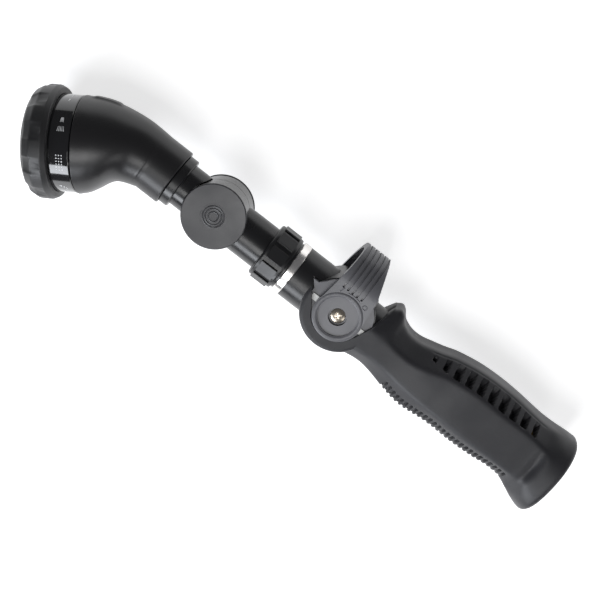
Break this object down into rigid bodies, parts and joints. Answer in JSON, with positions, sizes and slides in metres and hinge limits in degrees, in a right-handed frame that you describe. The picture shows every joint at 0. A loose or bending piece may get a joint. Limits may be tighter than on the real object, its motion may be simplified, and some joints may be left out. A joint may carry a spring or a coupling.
{
  "type": "hose spray nozzle",
  "caption": "Garden watering wand: hose inlet, soft grip, thumb-lever valve, swivelling barrel, tilting bent head and a dial of spray patterns",
  "frame": {"origin": "centre of the hose inlet's mouth, on the barrel's axis", "axes": "+X points out of the hose inlet along the barrel, +Y towards the thumb lever's arch, +Z along the lever and tilt axes, away from the side the tool lies on"},
  "size_m": [0.3405, 0.0887, 0.06],
  "materials": {
    "housing_black": "satin moulded black plastic",
    "barrel_black": "smooth black plastic",
    "cap_black": "smooth black plastic cap",
    "head_black": "fine-textured black plastic",
    "gloss_black": "glossy black plastic with white marks",
    "dial_rubber": "moulded rubber",
    "soft_grip": "soft charcoal grip rubber",
    "lever_grey": "mid-grey moulded plastic",
    "chrome_trim": "polished chrome plate",
    "steel": "nickel-plated steel",
    "brass_fitting": "turned brass",
    "white_nylon": "white nylon",
    "seal_rubber": "seal rubber"
  },
  "bodies": {
    "handle": {"valve_body": "housing_black", "handle_tube": "housing_black", "trim_ring": "chrome_trim", "front_seat": "white_nylon", "rear_seat": "white_nylon", "cheek_near": "lever_grey", "cheek_far": "lever_grey", "thrust_washers": "white_nylon", "grip_shell": "soft_grip", "insert_seat": "brass_fitting", "hose_insert": "brass_fitting", "inlet_screen": "steel", "hose_washer": "seal_rubber"},
    "thumb_lever": {"lever": "lever_grey", "lever_screws": "steel", "drive_stem": "brass_fitting", "idler_stem": "brass_fitting", "stem_o_rings": "seal_rubber", "valve_ball": "chrome_trim"},
    "nut": {"coupling_nut": "housing_black"},
    "barrel": {"barrel_tube": "barrel_black", "barrel_o_ring": "seal_rubber", "pivot_cap_near": "cap_black"},
    "head": {"head_stub": "barrel_black", "pivot_o_rings": "seal_rubber", "friction_ring": "white_nylon", "pivot_bolt": "steel", "pivot_cap_far": "cap_black", "neck_o_ring": "seal_rubber", "neck_ring": "barrel_black", "head_body": "head_black", "port_seal": "seal_rubber", "detent_spring": "steel", "axle_screw": "steel"},
    "detent": {"detent_pin": "white_nylon"},
    "dial": {"selector_disc": "white_nylon", "dial_shell": "gloss_black", "dial_ring": "dial_rubber", "spray_face": "housing_black", "centre_jet": "housing_black"}
  },
  "joints": [
    {"name": "lever_turn", "type": "hinge", "parent": "handle", "child": "thumb_lever", "pos_m": [-0.146, 0, 0], "axis": [0, 0, 1], "range_deg": [-22, 41]},
    {"name": "nut_turn", "type": "hinge", "parent": "handle", "child": "nut", "pos_m": [-0.1895, 0, 0], "axis": [1, 0, 0], "continuous": true},
    {"name": "barrel_swivel", "type": "hinge", "parent": "handle", "child": "barrel", "pos_m": [-0.1918, 0, 0], "axis": [1, 0, 0], "continuous": true},
    {"name": "head_tilt", "type": "hinge", "parent": "barrel", "child": "head", "pos_m": [-0.228, 0, 0], "axis": [0, 0, 1], "range_deg": [-75, 75]},
    {"name": "dial_turn", "type": "hinge", "parent": "head", "child": "dial", "pos_m": [-0.2803, 0, 0], "axis": [-0.8387, -0.5446, 0], "continuous": true},
    {"name": "detent_travel", "type": "slide", "parent": "head", "child": "detent", "axis": [-0.8387, -0.5446, 0], "range_m": [-0.0006, 0], "stiffness_N_per_m": 300}
  ]
}
